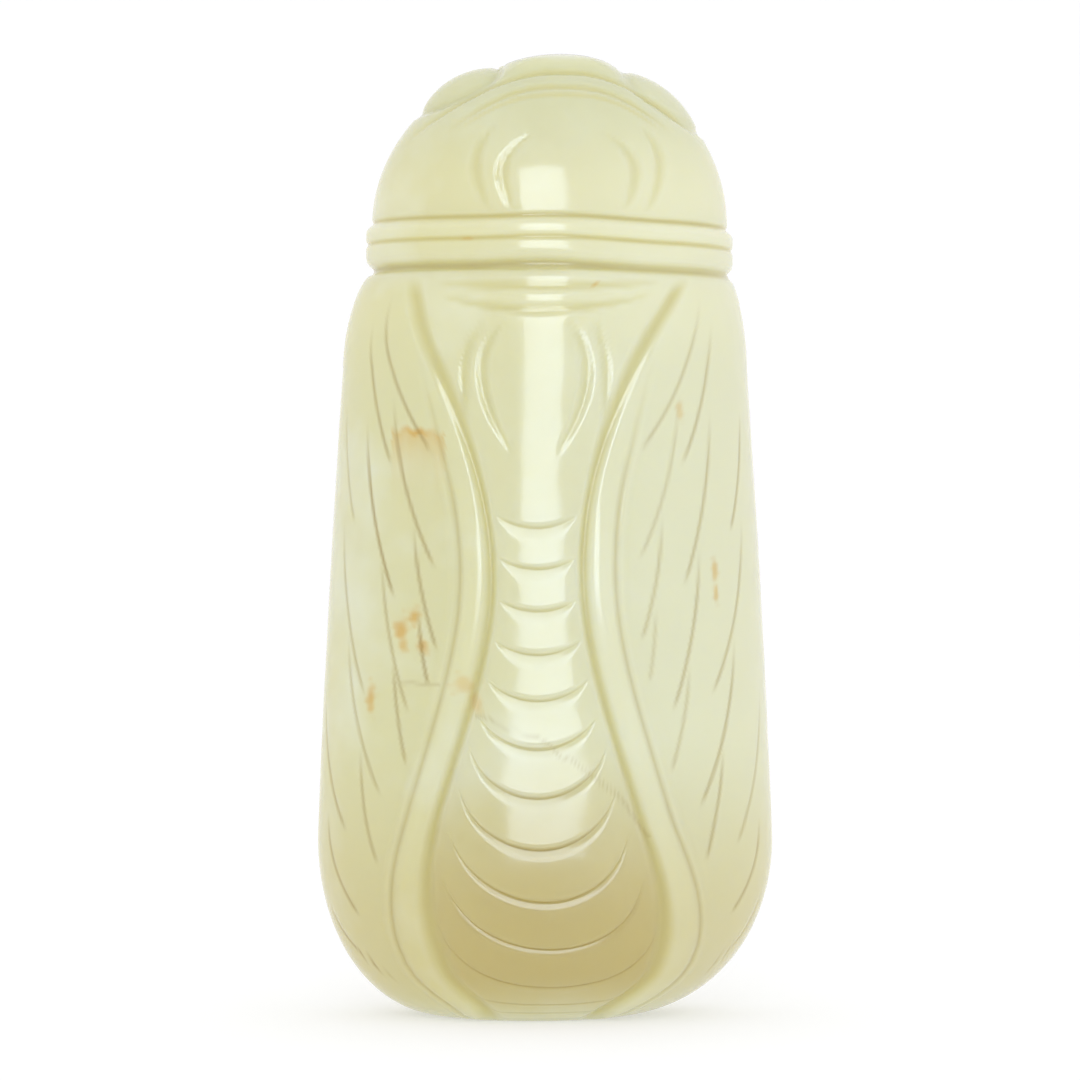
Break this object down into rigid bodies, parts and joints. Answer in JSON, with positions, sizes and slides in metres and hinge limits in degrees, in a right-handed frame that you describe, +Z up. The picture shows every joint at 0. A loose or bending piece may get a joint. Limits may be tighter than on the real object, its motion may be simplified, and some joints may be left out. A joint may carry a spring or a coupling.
{
  "type": "snuff bottle",
  "caption": "Carved jade snuff bottle in the form of a cicada with folded wings, hollow, with a round mouth at the crown of the head.",
  "frame": {"origin": "under the middle of the bottle, on the plane of its flat foot", "axes": "+Z up from the tail to the mouth, -Y out of the carved back, +X to the right when looking at the back"},
  "size_m": [0.0311, 0.0207, 0.0654],
  "materials": {
    "jade": "polished pale yellow-green nephrite"
  },
  "bodies": {
    "root": {"bottle": "jade"}
  },
  "joints": []
}
